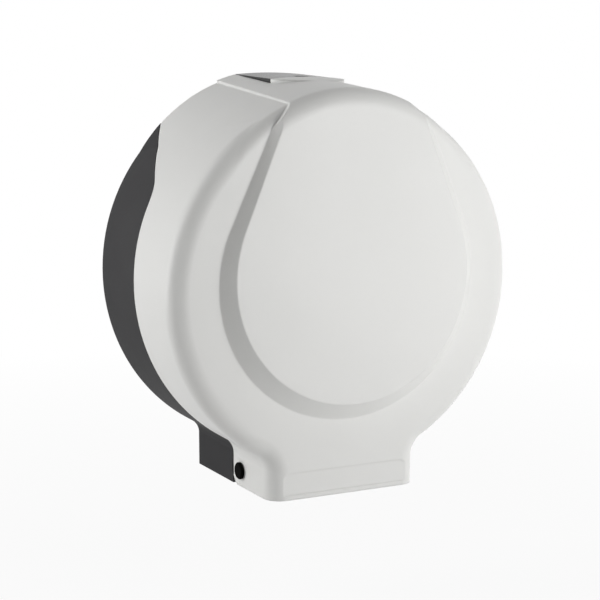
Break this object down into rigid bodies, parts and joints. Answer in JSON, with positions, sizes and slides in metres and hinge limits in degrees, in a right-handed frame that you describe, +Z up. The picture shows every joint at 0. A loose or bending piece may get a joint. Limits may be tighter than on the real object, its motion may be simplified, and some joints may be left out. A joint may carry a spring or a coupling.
{
  "type": "jumbo toilet roll dispenser",
  "caption": "Wall dispenser for a large toilet roll: round white cover with a neck and raised panel, hinged low on a dark base, with a lock on top.",
  "frame": {"origin": "middle of the four wall screws on the wall face, on the drum's axis", "axes": "+Z up, -Y away from the wall towards the user, +X to the right as seen from the front"},
  "size_m": [0.274, 0.137, 0.2986],
  "materials": {
    "cover_plastic": "satin moulded",
    "dark_plastic": "fine matt",
    "black_plastic": "matt",
    "white_plastic": "matt",
    "grey_plastic": "matt",
    "felt": "felt",
    "steel": "brushed"
  },
  "bodies": {
    "base": {"wall_base": "dark_plastic", "spindle": "grey_plastic", "spindle_screw_1": "steel", "spindle_screw_2": "steel", "spindle_screw_3": "steel", "brake_washer": "felt", "hub_cap": "grey_plastic", "hub_cap_screw": "steel", "hinge_pin_left": "black_plastic", "hinge_pin_right": "black_plastic", "lock_housing": "black_plastic", "lock_screw_left": "steel", "lock_screw_right": "steel"},
    "roll_holder": {"core_hub": "white_plastic", "core_sleeve": "grey_plastic"},
    "barrel": {"lock_barrel": "black_plastic"},
    "cover": {"cover": "cover_plastic", "lock_keeper": "white_plastic", "tear_blade": "steel", "blade_screw_left": "steel", "blade_screw_right": "steel"}
  },
  "joints": [
    {"name": "cover_hinge", "type": "hinge", "parent": "base", "child": "cover", "pos_m": [0, -0.074, -0.142], "axis": [1, 0, 0], "range_deg": [0, 90]},
    {"name": "holder_spin", "type": "hinge", "parent": "base", "child": "roll_holder", "pos_m": [0, -0.05, 0], "axis": [0, -1, 0], "continuous": true},
    {"name": "barrel_turn", "type": "hinge", "parent": "base", "child": "barrel", "pos_m": [0, -0.0535, 0.13], "axis": [0, 0, 1], "range_deg": [0, 90]}
  ]
}
